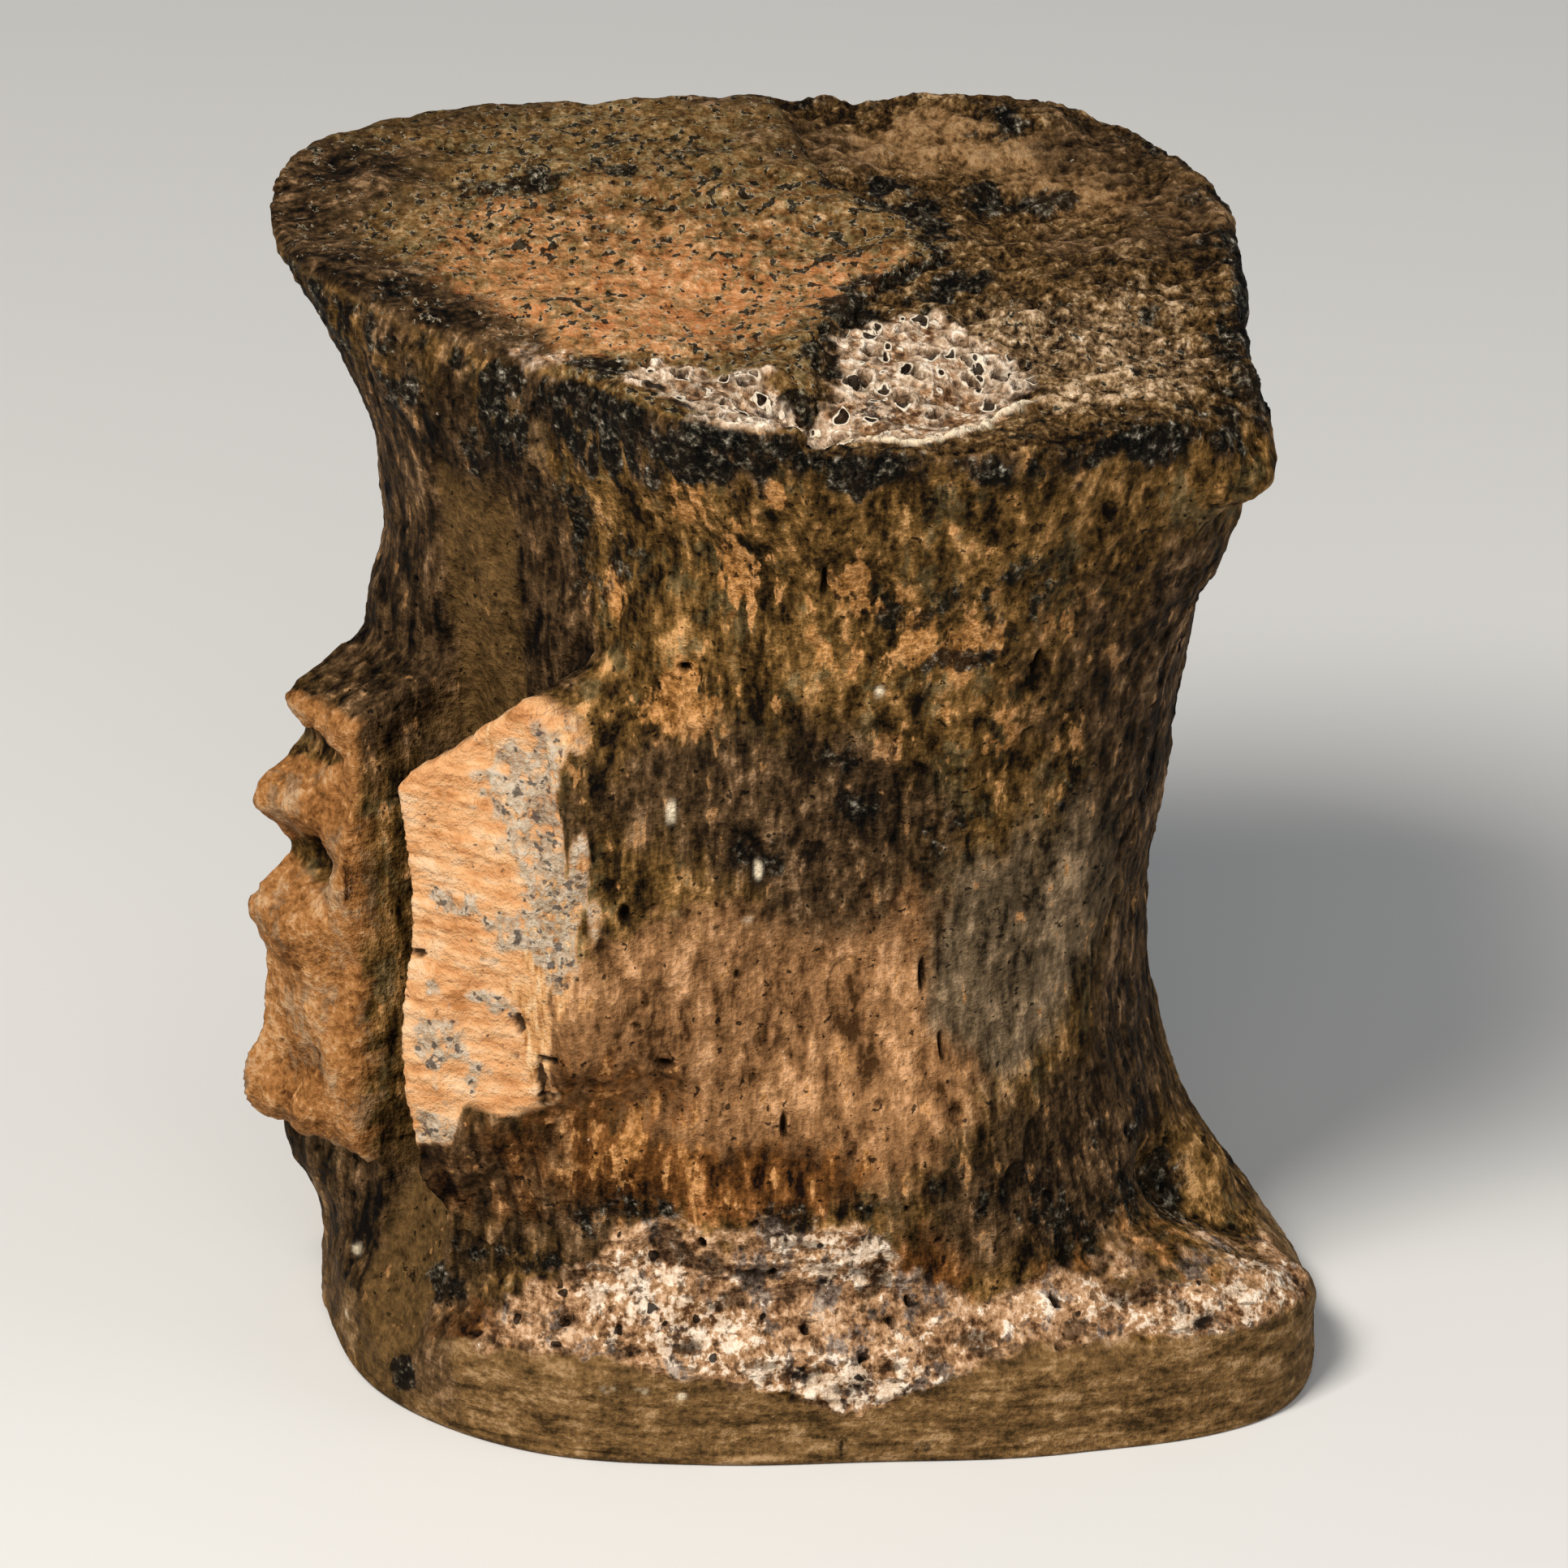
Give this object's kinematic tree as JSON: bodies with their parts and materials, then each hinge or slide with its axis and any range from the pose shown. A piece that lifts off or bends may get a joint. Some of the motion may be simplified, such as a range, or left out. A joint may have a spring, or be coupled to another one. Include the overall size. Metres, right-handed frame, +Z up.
{
  "type": "fossil dinosaur vertebra",
  "caption": "Waisted spool-shaped fossil tail vertebra standing on one end, with an open neural canal between broken arch stubs.",
  "frame": {"origin": "at the foot, in the middle of the whole bone's extent seen from above", "axes": "+Z up along the length of the bone, away from the end it stands on; -X towards the back of the animal, where the neural canal and the broken arch stubs are; Y across the bone"},
  "size_m": [0.0652, 0.0708, 0.068],
  "materials": {
    "fossil_bone": "matte"
  },
  "bodies": {
    "root": {"vertebra": "fossil_bone"}
  },
  "joints": []
}
